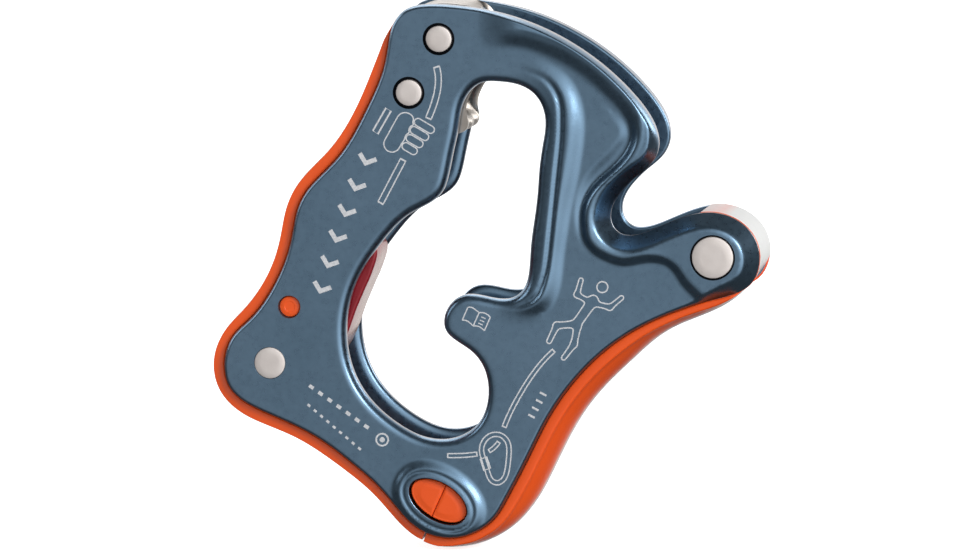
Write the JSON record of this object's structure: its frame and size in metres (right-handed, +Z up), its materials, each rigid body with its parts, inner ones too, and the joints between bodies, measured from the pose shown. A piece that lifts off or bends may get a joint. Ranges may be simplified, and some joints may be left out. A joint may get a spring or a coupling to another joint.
{
  "type": "belay device",
  "caption": "Assisted-braking belay device: mirror-image side plates with a keyhole carabiner slot, plastic edge shells, a steel rope insert and a sprung lever.",
  "frame": {"origin": "centre of the round carabiner seat, on the mid-plane between the two side plates", "axes": "+Z up along the device's height, +X towards the nose, the front side plate faces -Y"},
  "size_m": [0.1102, 0.0234, 0.1092],
  "materials": {
    "anodised_plate": "blue-grey anodised, satin",
    "orange_plastic": "satin gloss",
    "stainless_insert": "polished by the rope",
    "rivet_steel": "satin",
    "red_lever": "red anodised",
    "sleeve_steel": "turned",
    "spring_steel": "drawn wire"
  },
  "bodies": {
    "frame": {"front_plate": "anodised_plate", "rear_plate": "anodised_plate", "left_shell": "orange_plastic", "right_shell": "orange_plastic", "friction_insert": "stainless_insert", "insert_rivets": "rivet_steel", "lever_rivet": "rivet_steel", "nose_rivet": "rivet_steel", "lever_bush": "sleeve_steel", "nose_spacer": "sleeve_steel", "lever_spring": "spring_steel"},
    "lever": {"cam_lever": "red_lever"}
  },
  "joints": [
    {"name": "lever_pivot", "type": "hinge", "parent": "frame", "child": "lever", "pos_m": [-0.02959, 0, 0.00077], "axis": [0, -1, 0], "range_deg": [0, 5.5], "stiffness_Nm_per_rad": 0.25, "deforming": ["lever_spring"]}
  ]
}
